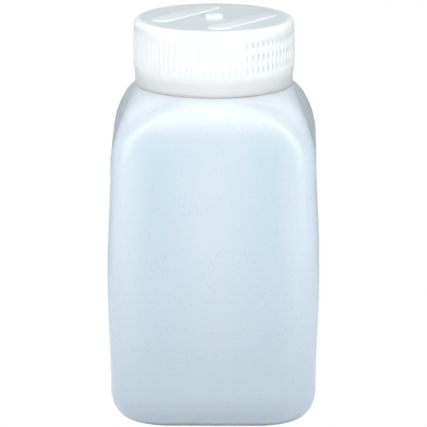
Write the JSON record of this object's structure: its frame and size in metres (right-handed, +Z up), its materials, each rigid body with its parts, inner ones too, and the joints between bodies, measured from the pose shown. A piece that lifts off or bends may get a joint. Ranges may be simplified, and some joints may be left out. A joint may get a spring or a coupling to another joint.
{
  "type": "reagent bottle",
  "caption": "Square wide-mouth reagent bottle in translucent natural polyethylene, with a ribbed white screw cap that unscrews off its threaded neck and a loose foam liner.",
  "frame": {"origin": "middle of the stand ring under the bottle, on the surface that it stands on", "axes": "+Z up through the mouth along the bottle's axis; -Y is the front face, +X is to the right of it"},
  "size_m": [0.0746, 0.0746, 0.1429],
  "materials": {
    "natural_polyethylene": "translucent natural HDPE, satin from the blow mould",
    "white_polypropylene": "translucent white PP, satin",
    "liner_foam": "white polyethylene foam with a smooth skin"
  },
  "bodies": {
    "bottle": {"bottle": "natural_polyethylene"},
    "liner": {"cap_liner": "liner_foam"},
    "cap": {"screw_cap": "white_polypropylene"}
  },
  "joints": [
    {"name": "cap_lift", "type": "slide", "parent": "bottle", "child": "liner", "axis": [0, 0, 1], "range_m": [0, 0.027]},
    {"name": "cap_twist", "type": "hinge", "parent": "liner", "child": "cap", "pos_m": [0, 0, 0.13], "axis": [0, 0, 1], "range_deg": [0, 2160]}
  ],
  "couplings": [
    {"joint": "cap_lift", "follows": "cap_twist", "m_per_rad": 0.0007162}
  ]
}
